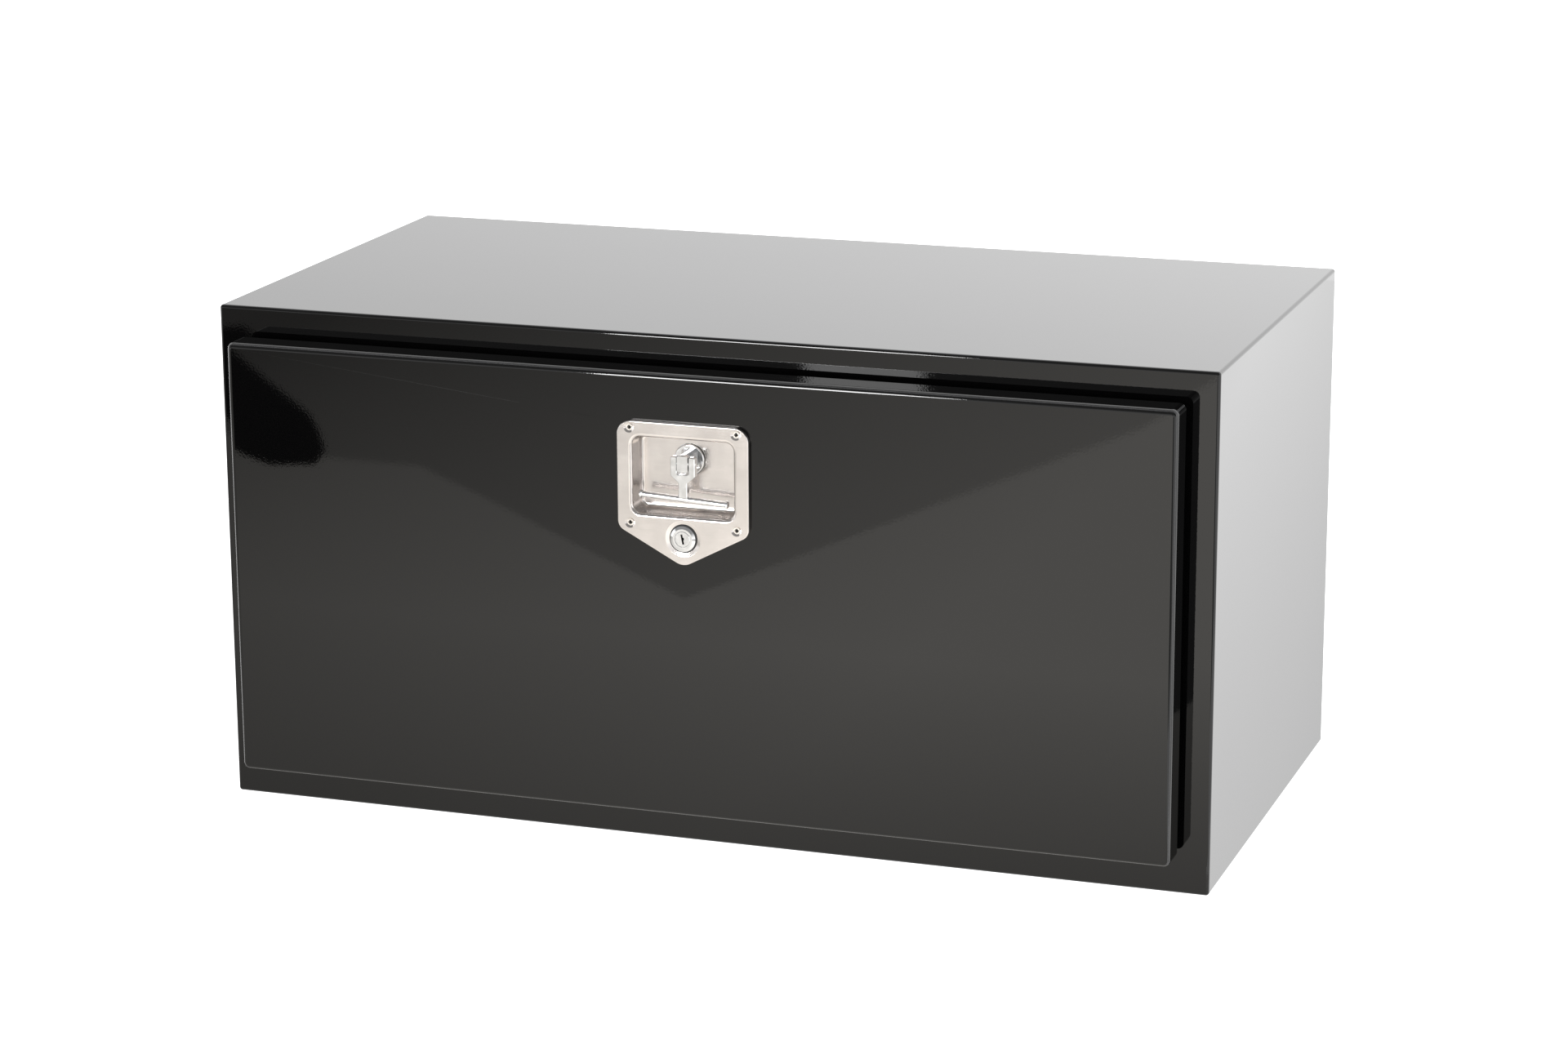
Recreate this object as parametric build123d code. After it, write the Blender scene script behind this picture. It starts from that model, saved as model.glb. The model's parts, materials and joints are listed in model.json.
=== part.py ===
"""Underbody truck tool box: welded steel cabinet, drop-down door and folding T-handle latch.

Millimetres, +Z up. The origin is the centre of the cabinet's bottom face, the door faces -Y.
Each piece is one function, and each function's result is written to its own STEP file.
"""
import os
from math import atan2, cos, degrees, radians, sqrt, tan

from build123d import *

# ---- cabinet ----
WIDTH = 914.4
DEPTH = 457.2
HEIGHT = 457.2
SHEET = 2.0  # 14 gauge body and door sheet
FRONT = -DEPTH / 2
REAR = DEPTH / 2
EDGE_RADIUS = 3.0
BACK_FLANGE = 18.0

# ---- door opening, its forward-turned lip and the seal on the lip ----
LIP_SHEET = 1.5
LIP_HALF_WIDTH = 421.0
LIP_BOTTOM = 58.0
LIP_TOP = 418.0
LIP_CORNER = 12.0
LIP_REACH = 26.0  # how far the lip stands forward of the front face
LIP_FLANGE = 15.0
LIP_GAP = 0.5  # between the lip and the edge of the front face's opening
SEAL_BULB = 10.0
SEAL_WALL = 1.75
SEAL_GRIP = 9.6
SEAL_CLEARANCE = 0.3

# ---- door ----
DOOR_HALF_WIDTH = 431.8
DOOR_BOTTOM = 36.0
DOOR_TOP = 432.0
DOOR_FACE = FRONT - 40.0
DOOR_DEPTH = 28.0
DOOR_BEND = 4.5
DOOR_CORNER = 5.5
DOOR_INSIDE = DOOR_FACE + SHEET

# ---- stiffeners behind the door's face ----
HAT_X = 230.0
HAT_HALF_CROWN = 18.0
HAT_HALF_BASE = 34.0
HAT_DEPTH = 12.0
HAT_BOTTOM = 75.0
HAT_TOP = 402.0

# ---- full-length hinge under the door ----
HINGE_Y = -234.1
HINGE_Z = 40.0
HINGE_HALF_LENGTH = 419.0
KNUCKLE_COUNT = 29
KNUCKLE_GAP = 0.5
KNUCKLE_RADIUS = 4.5
HINGE_PIN_RADIUS = 2.0
RUNNING_CLEARANCE = 0.05
LEAF_SHEET = 1.5
BODY_LEAF_TOP = 56.0
DOOR_LEAF_FRONT = -262.0
HINGE_PIN_PEEN = 1.2
HINGE_RIVET_RADIUS = 2.0
HINGE_RIVET_HEAD = 3.6
HINGE_RIVET_DOME = 1.2
HINGE_RIVET_BEVEL = 0.7
HINGE_RIVET_COUNT = 14
BODY_RIVET_Z = 51.0
DOOR_RIVET_Y = -252.0

# ---- latch plate and its dish ----
PLATE_FACE = DOOR_FACE - 5.0
PLATE_SHEET = 2.0
PLATE_RIM = 4.2  # depth of the plate's turned-back edge
PLATE_HALF_WIDTH = 60.0
PLATE_TOP = 390.2
PLATE_SHOULDER = 295.5
PLATE_POINT = 263.8
PLATE_TOP_CORNER = 13.0
PLATE_SHOULDER_CORNER = 10.0
PLATE_POINT_CORNER = 14.0
PLATE_EDGE_ROUND = 0.9
DISH_HALF_WIDTH = 46.4  # at the plate's face, before the mouth is rolled over
DISH_BOTTOM = 308.8
DISH_TOP = 376.6
DISH_DEPTH = 20.0
DISH_SHEET = 1.5
DISH_CORNER = 8.0
DISH_DRAFT = 5.0
DISH_ROLL = 3.2
DISH_FLOOR_ROUND = 3.0
DISH_FLOOR = PLATE_FACE + DISH_DEPTH
GASKET_INSET = 0.4
PLATE_BOLT_X = 48.7
PLATE_BOLT_LOW = 299.9
PLATE_BOLT_HIGH = 384.2
BOLT_RADIUS = 2.1
BOLT_SEAT_RADIUS = 4.7
BOLT_SEAT_DEPTH = 1.9
BOLT_SUNK = 1.3  # how far the screw's head lies below the plate's face
BOLT_END = -258.0
RECESS_LENGTH = 3.8
RECESS_WIDTH = 1.1
RECESS_DEPTH = 1.8
RECESS_CENTRE = 1.0
NUT_ACROSS = 7.8
NUT_HEIGHT = 3.4

# ---- latch spindle, tongue and strike ----
SPINDLE_Z = 355.0
HUB_RADIUS = 13.6
HUB_GAP = 0.6
HUB_PROUD = 2.6
HUB_THICKNESS = 5.4
SPINDLE_RADIUS = 6.0
HOUSING_RADIUS = 18.5
HOUSING_REAR = -234.0
TONGUE_FRONT = -221.3
TONGUE_THICKNESS = 4.0
TONGUE_REACH = 76.0
TONGUE_HALF_WIDTH = 12.0
TAIL_REACH = 33.0
TAIL_HALF_WIDTH = 5.5
TONGUE_SQUARE = 8.0
STUD_RADIUS = 3.0
SPINDLE_END = -206.0
COLLAR_WALL = 3.5
WASHER_SHEET = 1.4
WASHER_RADIUS = 8.5
TONGUE_NUT_ACROSS = 13.0
TONGUE_NUT_HEIGHT = 6.0
STRIKE_HALF_WIDTH = 35.0
STRIKE_THICKNESS = 3.0
STRIKE_BOTTOM = 418.5
STRIKE_TOP = 442.0

# ---- folding T handle ----
HANDLE_Y = -270.0
LUG_HALF_WIDTH = 4.9
LUG_RADIUS = 7.8
PRONG_INNER = 5.4
PRONG_OUTER = 11.0
PRONG_HALF_THICKNESS = 3.2
PRONG_TOP = 361.4
FORK_FLOOR = 345.4
FORK_SHOULDER = 343.0
SHANK_TOP = 338.2
SHANK_HALF_WIDTH = 3.9
BAR_Z = 323.4
BAR_RADIUS = 2.5
BAR_HALF_LENGTH = 40.5
BAR_LEAN = 3.0  # degrees that the bar's right end hangs low
BAR_HEAD_RADIUS = 3.6
BAR_HEAD_LENGTH = 2.6
BAR_HEAD_ROUND = 1.1
BAR_HEAD_BEVEL = 0.8
HANDLE_PIN_RADIUS = 2.0
PRONG_EYE_RADIUS = 6.6
SHANK_BEVEL = 0.45

# ---- key lock ----
LOCK_Z = 289.0
LOCK_HEAD_RADIUS = 11.4
LOCK_HEAD_PROUD = 1.5
LOCK_BEVEL_WIDTH = 2.4
LOCK_BEVEL_DEPTH = 1.3
LOCK_RING_RADIUS = 12.4
LOCK_RING_HEIGHT = 0.7
LOCK_DIMPLE_RADIUS = 16.0
LOCK_DIMPLE_DEPTH = 1.0
LOCK_DIMPLE_ROUND = 1.4
LOCK_BARREL_RADIUS = 9.5
LOCK_REAR = -247.0
PLUG_RADIUS = 7.0
PLUG_BEVEL = 0.5
KEYWAY_LEAN = 11.0
KEYWAY_LENGTH = 9.0
KEYWAY_WIDTH = 1.7
KEYWAY_DEPTH = 12.0
LOCK_CAM_FRONT = TONGUE_FRONT
LOCK_CAM_THICKNESS = 2.5
LOCK_CAM_SQUARE = 6.0
LOCK_STUD_RADIUS = 2.5
LOCK_NUT_ACROSS = 26.0
LOCK_NUT_HEIGHT = 4.0
CAM_NUT_ACROSS = 9.0
CAM_NUT_HEIGHT = 4.0

# ---- folding stays: a rear link on the cabinet and a front link on the door ----
STAY_REAR_PIVOT = (-205.0, 120.0)
STAY_DOOR_PIVOT = (-254.5, 140.0)
REAR_LINK = 97.5
FRONT_LINK = 80.5
LINK_SHEET = 2.5
LINK_HALF_WIDTH = 7.5
KNEE_HALF_WIDTH = 10.0
STAY_PIN_RADIUS = 4.0
STAY_HEAD_RADIUS = 6.5
KNEE_PIN_RADIUS = 3.0
KNEE_HOLE_RADIUS = 5.9
KNEE_HEAD_RADIUS = 8.0
BRACKET_INNER = 416.5
REAR_LINK_INNER = 411.8
FRONT_LINK_INNER = 408.3
DOOR_BRACKET_INNER = 405.3


def front_plane(y):
    """Sketch plane seen from the front: local x is +X, local y is +Z, normal is -Y."""
    return Plane(origin=(0, y, 0), x_dir=(1, 0, 0), z_dir=(0, -1, 0))


def side_plane(x):
    """Sketch plane seen from the side: local x is +Y, local y is +Z, normal is +X."""
    return Plane(origin=(x, 0, 0), x_dir=(0, 1, 0), z_dir=(1, 0, 0))


def slab(outline, y_front, y_back):
    """Solid between two depths with the given outline in X and Z."""
    return extrude(front_plane(y_front) * outline, amount=y_front - y_back)


def strap(outline, x_low, x_high):
    """Solid between two widths with the given outline in Y and Z."""
    return extrude(side_plane(x_low) * outline, amount=x_high - x_low)


def block(x_low, x_high, y_low, y_high, z_low, z_high):
    """Rectangular solid given by its six faces."""
    centre = ((x_low + x_high) / 2, (y_low + y_high) / 2, (z_low + z_high) / 2)
    return Pos(*centre) * Box(x_high - x_low, y_high - y_low, z_high - z_low)


def opening_outline(half_width, bottom, top, corner):
    """Rounded rectangle in X and Z, centred on X."""
    rectangle = RectangleRounded(2 * half_width, top - bottom, corner)
    return Pos(0, (top + bottom) / 2) * rectangle


def ring_slab(outer, inner, y_front, y_back):
    """Rectangular ring between two depths, from two (half width, bottom, top, corner) outlines."""
    outside = slab(opening_outline(*outer), y_front, y_back)
    return outside - slab(opening_outline(*inner), y_front - 1, y_back + 1)


def lip_outline(offset):
    """The lip's outer outline, grown by an offset."""
    return (
        LIP_HALF_WIDTH + offset,
        LIP_BOTTOM - offset,
        LIP_TOP + offset,
        max(LIP_CORNER + offset, 1.0),
    )


def disc(x, z, radius, y_front, y_back):
    """Round solid along Y."""
    return slab(Pos(x, z) * Circle(radius), y_front, y_back)


def roller(y, z, radius, x_low, x_high):
    """Round solid along X."""
    return strap(Pos(y, z) * Circle(radius), x_low, x_high)


def mirrored(solid):
    """The left-hand copy of a right-hand piece."""
    return mirror(solid, about=Plane.YZ)


# ---------------------------------------------------------------- cabinet


def make_body_wrap():
    """Top, sides, bottom and front face, folded from one sheet and open at the back."""
    outside = block(-WIDTH / 2, WIDTH / 2, FRONT, REAR, 0, HEIGHT)
    along_depth = outside.edges().filter_by(Axis.Y)
    outside = fillet(along_depth, EDGE_RADIUS)
    front_edges = outside.faces().sort_by(Axis.Y)[0].edges()
    outside = fillet(front_edges, EDGE_RADIUS - 0.2)
    inside = block(
        -WIDTH / 2 + SHEET,
        WIDTH / 2 - SHEET,
        FRONT + SHEET,
        REAR + 1,
        SHEET,
        HEIGHT - SHEET,
    )
    opening = slab(opening_outline(*lip_outline(LIP_GAP)), FRONT - 1, FRONT + SHEET + 1)
    return outside - inside - opening


def make_back_panel():
    """Back sheet with forward flanges, set flush inside the rear edge of the wrap."""
    half = WIDTH / 2 - SHEET
    tray = block(-half, half, REAR - BACK_FLANGE, REAR, SHEET, HEIGHT - SHEET)
    hollow = block(
        -half + SHEET,
        half - SHEET,
        REAR - BACK_FLANGE - 1,
        REAR - SHEET,
        2 * SHEET,
        HEIGHT - 2 * SHEET,
    )
    return tray - hollow


def make_mouth_frame():
    """Flat ring welded behind the front face, which stiffens the mouth and carries the lip."""
    front = FRONT + SHEET
    return ring_slab(lip_outline(LIP_FLANGE), lip_outline(0), front, front + LIP_SHEET)


def make_drip_lip():
    """Flat strip on edge, welded round inside the frame, which reaches forward as a drip rail."""
    back = FRONT + SHEET + LIP_SHEET
    return ring_slab(lip_outline(0), lip_outline(-LIP_SHEET), FRONT - LIP_REACH, back)


def make_door_seal():
    """Rubber bulb seal that grips the edge of the lip and stops short of the door's inside."""
    lip_edge = FRONT - LIP_REACH
    grip_front = lip_edge - 2.0
    middle = -LIP_SHEET / 2
    bulb = ring_slab(
        lip_outline(middle + SEAL_BULB / 2),
        lip_outline(middle - SEAL_BULB / 2),
        DOOR_INSIDE + SEAL_CLEARANCE,
        grip_front + 1.0,
    )
    front_rim = bulb.faces().sort_by(Axis.Y)[0].edges()
    bulb = fillet(front_rim, SEAL_BULB / 2 - 0.6)
    back_rim = bulb.faces().sort_by(Axis.Y)[-1].edges()
    bulb = fillet(back_rim, SEAL_BULB / 2 - 1.6)
    grip = ring_slab(
        lip_outline(SEAL_WALL),
        lip_outline(-LIP_SHEET - SEAL_WALL),
        grip_front,
        lip_edge + SEAL_GRIP,
    )
    slot = ring_slab(lip_outline(0), lip_outline(-LIP_SHEET), lip_edge, lip_edge + SEAL_GRIP + 1)
    return bulb + grip - slot


def make_strike_plate():
    """Hardened plate welded behind the frame's top rail, where the tongue bears."""
    front = FRONT + SHEET + LIP_SHEET
    plate = block(
        -STRIKE_HALF_WIDTH,
        STRIKE_HALF_WIDTH,
        front,
        front + STRIKE_THICKNESS,
        STRIKE_BOTTOM,
        STRIKE_TOP,
    )
    return chamfer(plate.faces().sort_by(Axis.Z)[0].edges().sort_by(Axis.Y)[-1], 1.2)


# ---------------------------------------------------------------- hinge


def knuckle_span(index):
    """Low and high X of one knuckle."""
    pitch = 2 * HINGE_HALF_LENGTH / KNUCKLE_COUNT
    low = -HINGE_HALF_LENGTH + index * pitch
    return low + KNUCKLE_GAP / 2, low + pitch - KNUCKLE_GAP / 2


def hinge_bore():
    """Clearance for the hinge pin, over the whole hinge."""
    radius = HINGE_PIN_RADIUS + RUNNING_CLEARANCE
    return roller(HINGE_Y, HINGE_Z, radius, -HINGE_HALF_LENGTH - 1, HINGE_HALF_LENGTH + 1)


def rivet_places():
    """X positions of the rivets along a hinge leaf."""
    pitch = 2 * HINGE_HALF_LENGTH / HINGE_RIVET_COUNT
    return [-HINGE_HALF_LENGTH + (i + 0.5) * pitch for i in range(HINGE_RIVET_COUNT)]


def make_hinge_body_leaf():
    """Fixed leaf on the front face, with the even knuckles."""
    leaf_front = FRONT - LEAF_SHEET
    leaf_bottom = HINGE_Z + KNUCKLE_RADIUS + 1.0
    leaf = block(
        -HINGE_HALF_LENGTH,
        HINGE_HALF_LENGTH,
        leaf_front,
        FRONT,
        leaf_bottom,
        BODY_LEAF_TOP,
    )
    for index in range(0, KNUCKLE_COUNT, 2):
        low, high = knuckle_span(index)
        leaf += roller(HINGE_Y, HINGE_Z, KNUCKLE_RADIUS, low, high)
        leaf += block(low, high, HINGE_Y + 2.0, FRONT, HINGE_Z, leaf_bottom)
    for x in rivet_places():
        leaf -= disc(x, BODY_RIVET_Z, HINGE_RIVET_RADIUS, leaf_front - 1, FRONT + 1)
    return leaf - hinge_bore()


def make_hinge_door_leaf():
    """Moving leaf on the door's bottom flange, with the odd knuckles."""
    bottom = DOOR_BOTTOM + SHEET
    top = bottom + LEAF_SHEET
    leaf_rear = HINGE_Y - KNUCKLE_RADIUS - 0.8
    leaf = block(-HINGE_HALF_LENGTH, HINGE_HALF_LENGTH, DOOR_LEAF_FRONT, leaf_rear, bottom, top)
    for index in range(1, KNUCKLE_COUNT, 2):
        low, high = knuckle_span(index)
        leaf += roller(HINGE_Y, HINGE_Z, KNUCKLE_RADIUS, low, high)
        leaf += block(low, high, leaf_rear - 1, HINGE_Y - 1, bottom, top)
    for x in rivet_places():
        leaf -= Pos(x, DOOR_RIVET_Y, 0) * Cylinder(HINGE_RIVET_RADIUS, 4 * top)
    return leaf - hinge_bore()


def make_hinge_pin():
    """Full-length pin, peened over at both ends."""
    pin = roller(HINGE_Y, HINGE_Z, HINGE_PIN_RADIUS, -HINGE_HALF_LENGTH, HINGE_HALF_LENGTH)
    end = HINGE_HALF_LENGTH - KNUCKLE_GAP / 2
    for low, high in ((-end - HINGE_PIN_PEEN, -end), (end, end + HINGE_PIN_PEEN)):
        pin += roller(HINGE_Y, HINGE_Z, HINGE_PIN_RADIUS + 1.0, low, high)
    return pin


def make_hinge_body_rivets():
    """Rivets through the fixed leaf and the front face."""
    leaf_front = FRONT - LEAF_SHEET
    rivets = []
    for x in rivet_places():
        shank = disc(x, BODY_RIVET_Z, HINGE_RIVET_RADIUS, leaf_front, FRONT)
        head = disc(x, BODY_RIVET_Z, HINGE_RIVET_HEAD, leaf_front - HINGE_RIVET_DOME, leaf_front)
        head = chamfer(head.faces().sort_by(Axis.Y)[0].edges(), HINGE_RIVET_BEVEL)
        rivets.append(shank + head)
    return rivets


def make_hinge_door_rivets():
    """Rivets through the moving leaf, headed inside the door."""
    top = DOOR_BOTTOM + SHEET + LEAF_SHEET
    rivets = []
    for x in rivet_places():
        shank = Pos(x, DOOR_RIVET_Y, top - LEAF_SHEET / 2) * Cylinder(HINGE_RIVET_RADIUS, LEAF_SHEET)
        dome = Cylinder(HINGE_RIVET_HEAD, HINGE_RIVET_DOME)
        head = Pos(x, DOOR_RIVET_Y, top + HINGE_RIVET_DOME / 2) * dome
        head = chamfer(head.faces().sort_by(Axis.Z)[-1].edges(), HINGE_RIVET_BEVEL)
        rivets.append(shank + head)
    return rivets


# ---------------------------------------------------------------- door


def door_solid(inset, corner, bend):
    """Door-shaped block, shrunk inwards by an inset, rounded at its corners and front bends."""
    solid = block(
        -DOOR_HALF_WIDTH + inset,
        DOOR_HALF_WIDTH - inset,
        DOOR_FACE + inset,
        DOOR_FACE + DOOR_DEPTH + (1.0 if inset else 0.0),
        DOOR_BOTTOM + inset,
        DOOR_TOP - inset,
    )
    solid = fillet(solid.edges().filter_by(Axis.Y), corner)
    return fillet(solid.faces().sort_by(Axis.Y)[0].edges(), bend)


def make_door_pan():
    """Folded door sheet with its return flanges, cut out for the latch dish and the lock."""
    outside = door_solid(0, DOOR_CORNER, DOOR_BEND)
    inside = door_solid(SHEET, DOOR_CORNER - SHEET, DOOR_BEND - SHEET)
    margin = 2.5
    dish_hole = opening_outline(
        DISH_HALF_WIDTH + margin, DISH_BOTTOM - margin, DISH_TOP + margin, DISH_CORNER + margin
    )
    pan = outside - inside - slab(dish_hole, DOOR_FACE - 1, DOOR_INSIDE + 1)
    pan -= disc(0, LOCK_Z, LOCK_BARREL_RADIUS + 2.5, DOOR_FACE - 1, DOOR_INSIDE + 1)
    for x, z in plate_bolt_places():
        pan -= disc(x, z, BOLT_RADIUS + 0.2, DOOR_FACE - 1, DOOR_INSIDE + 1)
    return pan


def make_stiffener():
    """Hat-section stiffener bonded behind the right half of the door's face."""
    back = DOOR_INSIDE + HAT_DEPTH
    wall = LIP_SHEET
    points = [
        (-HAT_HALF_BASE, DOOR_INSIDE),
        (HAT_HALF_BASE, DOOR_INSIDE),
        (HAT_HALF_BASE, DOOR_INSIDE + wall),
        (HAT_HALF_CROWN + wall, DOOR_INSIDE + wall),
        (HAT_HALF_CROWN, back),
        (-HAT_HALF_CROWN, back),
        (-HAT_HALF_CROWN - wall, DOOR_INSIDE + wall),
        (-HAT_HALF_BASE, DOOR_INSIDE + wall),
    ]
    hat = make_face(Polyline(*points, close=True))
    groove = [
        (-HAT_HALF_CROWN + 0.4, DOOR_INSIDE - 1),
        (HAT_HALF_CROWN - 0.4, DOOR_INSIDE - 1),
        (HAT_HALF_CROWN - wall, back - wall),
        (-HAT_HALF_CROWN + wall, back - wall),
    ]
    section = Pos(HAT_X, 0) * (hat - make_face(Polyline(*groove, close=True)))
    return extrude(Pos(0, 0, HAT_BOTTOM) * section, amount=HAT_TOP - HAT_BOTTOM)


# ---------------------------------------------------------------- latch plate and lock


def plate_bolt_places():
    """X and Z of the four plate screws."""
    return [(x, z) for x in (-PLATE_BOLT_X, PLATE_BOLT_X) for z in (PLATE_BOLT_LOW, PLATE_BOLT_HIGH)]


def plate_outline(inset):
    """Five-sided plate outline with a rounded point at the bottom."""
    slope = atan2(PLATE_SHOULDER - PLATE_POINT, PLATE_HALF_WIDTH)
    half = PLATE_HALF_WIDTH - inset
    point = PLATE_POINT + inset / cos(slope)
    shoulder = point + half * tan(slope)
    corners = [
        (-half, PLATE_TOP - inset),
        (half, PLATE_TOP - inset),
        (half, shoulder),
        (0, point),
        (-half, shoulder),
    ]
    outline = make_face(Polyline(*corners, close=True))
    rising = outline.vertices().sort_by(Axis.Y)
    outline = fillet(rising[-2:], PLATE_TOP_CORNER - inset)
    rising = outline.vertices().sort_by(Axis.Y)
    outline = fillet(rising[0], PLATE_POINT_CORNER - inset)
    shoulders = [v for v in outline.vertices() if abs(v.Y - shoulder) < 0.01]
    return fillet(shoulders, PLATE_SHOULDER_CORNER - inset)


def dish_form(offset, y_front, y_back):
    """Tapered dish volume between two depths, grown sideways by an offset."""
    shrink = (y_front - PLATE_FACE) * tan(radians(DISH_DRAFT))
    outline = opening_outline(
        DISH_HALF_WIDTH + offset - shrink,
        DISH_BOTTOM - offset + shrink,
        DISH_TOP + offset - shrink,
        DISH_CORNER + offset,
    )
    return extrude(front_plane(y_front) * outline, amount=y_front - y_back, taper=DISH_DRAFT)


def countersink(x, z):
    """Conical seat for a flat-head screw."""
    cone = Cone(BOLT_RADIUS, BOLT_SEAT_RADIUS, BOLT_SEAT_DEPTH)
    return Pos(x, PLATE_FACE + BOLT_SEAT_DEPTH / 2, z) * Rot(90, 0, 0) * cone


def make_plate_sheet():
    """Five-sided stainless sheet with its edge rolled over and turned back to the door."""
    rim_back = PLATE_FACE + PLATE_RIM
    sheet = slab(plate_outline(0), PLATE_FACE, rim_back)
    sheet = fillet(sheet.faces().sort_by(Axis.Y)[0].edges(), PLATE_EDGE_ROUND)
    return sheet - slab(plate_outline(PLATE_SHEET), PLATE_FACE + PLATE_SHEET, rim_back + 1)


def make_latch_dish():
    """Pressed stainless plate with the drawn dish, screw seats and the dimple round the lock."""
    bowl = dish_form(DISH_SHEET, PLATE_FACE + PLATE_SHEET - 0.5, DISH_FLOOR + DISH_SHEET)
    hollow = dish_form(0, PLATE_FACE - 1.0, DISH_FLOOR)
    hollow = fillet(hollow.faces().sort_by(Axis.Y)[-1].edges(), DISH_FLOOR_ROUND)
    bend = dish_form(2 * PLATE_SHEET, PLATE_FACE + PLATE_SHEET - 0.5, PLATE_FACE + PLATE_RIM)
    dish = make_plate_sheet() + bowl + bend - hollow
    mouth = [e for e in dish.edges() if abs(e.center().Y - PLATE_FACE) < 0.01 and dish_mouth(e)]
    dish = fillet(mouth, DISH_ROLL)
    dish -= disc(0, SPINDLE_Z, HUB_RADIUS + HUB_GAP, DISH_FLOOR - 1, DISH_FLOOR + DISH_SHEET + 1)
    sheet_back = PLATE_FACE + PLATE_SHEET
    dimple_back = sheet_back + LOCK_DIMPLE_DEPTH
    dish += disc(0, LOCK_Z, LOCK_DIMPLE_RADIUS, sheet_back - 0.5, dimple_back)
    dimple = Cone(LOCK_RING_RADIUS, LOCK_DIMPLE_RADIUS, LOCK_DIMPLE_DEPTH)
    dish -= Pos(0, PLATE_FACE + LOCK_DIMPLE_DEPTH / 2, LOCK_Z) * Rot(90, 0, 0) * dimple
    brim = [e for e in dish.edges() if dimple_brim(e)]
    dish = fillet(brim, LOCK_DIMPLE_ROUND)
    dish -= disc(0, LOCK_Z, LOCK_BARREL_RADIUS, PLATE_FACE - 1, dimple_back + 1)
    for x, z in plate_bolt_places():
        dish -= countersink(x, z)
        dish -= disc(x, z, BOLT_RADIUS, PLATE_FACE - 1, sheet_back + 1)
    return dish


def dimple_brim(edge):
    """True for the round edge where the lock's dimple meets the plate's face."""
    centre = edge.arc_center if edge.geom_type == GeomType.CIRCLE else edge.center()
    on_face = abs(edge.center().Y - PLATE_FACE) < 0.01
    return on_face and abs(centre.X) < 0.01 and abs(centre.Z - LOCK_Z) < 0.01


def dish_mouth(edge):
    """True for an edge of the dish's mouth, false for one of the plate's outer outline."""
    centre = edge.center()
    reach = DISH_HALF_WIDTH + 4.0
    return abs(centre.X) < reach and DISH_BOTTOM - 4.0 < centre.Z < DISH_TOP + 4.0


def make_latch_gasket():
    """Rubber gasket between the plate and the door."""
    gasket = slab(plate_outline(GASKET_INSET), PLATE_FACE + PLATE_RIM, DOOR_FACE)
    margin = 3.0
    window = opening_outline(
        DISH_HALF_WIDTH + margin, DISH_BOTTOM - margin, DISH_TOP + margin, DISH_CORNER + margin
    )
    gasket -= slab(window, PLATE_FACE, DOOR_FACE + 1)
    gasket -= disc(0, LOCK_Z, LOCK_BARREL_RADIUS + 1.0, PLATE_FACE, DOOR_FACE + 1)
    for x, z in plate_bolt_places():
        gasket -= disc(x, z, BOLT_RADIUS + 0.2, PLATE_FACE, DOOR_FACE + 1)
    return gasket


def make_plate_screws():
    """Flat-head cross-recess screws, their heads a little below the plate's face."""
    head_face = PLATE_FACE + BOLT_SUNK
    head_room = Rectangle(4 * BOLT_SEAT_RADIUS, 4 * BOLT_SEAT_RADIUS)
    cross = Rectangle(RECESS_LENGTH, RECESS_WIDTH) + Rectangle(RECESS_WIDTH, RECESS_LENGTH)
    recess_outline = cross + Circle(RECESS_CENTRE)
    screws = []
    for x, z in plate_bolt_places():
        shank = disc(x, z, BOLT_RADIUS, head_face + 0.2, BOLT_END)
        head = countersink(x, z) - slab(Pos(x, z) * head_room, PLATE_FACE - 1, head_face)
        recess = slab(Pos(x, z) * recess_outline, PLATE_FACE, head_face + RECESS_DEPTH)
        screws.append(shank + head - recess)
    return screws


def make_plate_nuts():
    """Hexagon nuts on the plate screws, inside the door."""
    nuts = []
    for x, z in plate_bolt_places():
        hexagon = RegularPolygon(NUT_ACROSS / 2, 6, major_radius=False)
        nut = slab(Pos(x, z) * hexagon, DOOR_INSIDE, DOOR_INSIDE + NUT_HEIGHT)
        nuts.append(nut - disc(x, z, BOLT_RADIUS, DOOR_INSIDE - 1, DOOR_INSIDE + NUT_HEIGHT + 1))
    return nuts


def make_lock_housing():
    """Lock barrel with its bevelled round front flange, bored for the plug."""
    seat = PLATE_FACE + LOCK_DIMPLE_DEPTH
    head = disc(0, LOCK_Z, LOCK_HEAD_RADIUS, PLATE_FACE - LOCK_HEAD_PROUD, seat)
    front = head.faces().sort_by(Axis.Y)[0]
    head = chamfer(front.edges(), LOCK_BEVEL_WIDTH, LOCK_BEVEL_DEPTH, reference=front)
    barrel = disc(0, LOCK_Z, LOCK_BARREL_RADIUS, seat, LOCK_REAR)
    bore = disc(0, LOCK_Z, PLUG_RADIUS + RUNNING_CLEARANCE, PLATE_FACE - 5, LOCK_REAR + 1)
    return head + barrel - bore


def make_lock_seal_ring():
    """Black rubber ring in the dimple, round the lock's front flange."""
    seat = PLATE_FACE + LOCK_DIMPLE_DEPTH
    ring = disc(0, LOCK_Z, LOCK_RING_RADIUS, seat - LOCK_RING_HEIGHT, seat)
    return ring - disc(0, LOCK_Z, LOCK_HEAD_RADIUS, seat - 2, seat + 1)


def make_lock_nut():
    """Thin hexagon nut that clamps the lock barrel from inside the door."""
    hexagon = Pos(0, LOCK_Z) * RegularPolygon(LOCK_NUT_ACROSS / 2, 6, major_radius=False)
    back = DOOR_INSIDE + LOCK_NUT_HEIGHT
    nut = slab(hexagon, DOOR_INSIDE, back)
    return nut - disc(0, LOCK_Z, LOCK_BARREL_RADIUS, DOOR_INSIDE - 1, back + 1)


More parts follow.
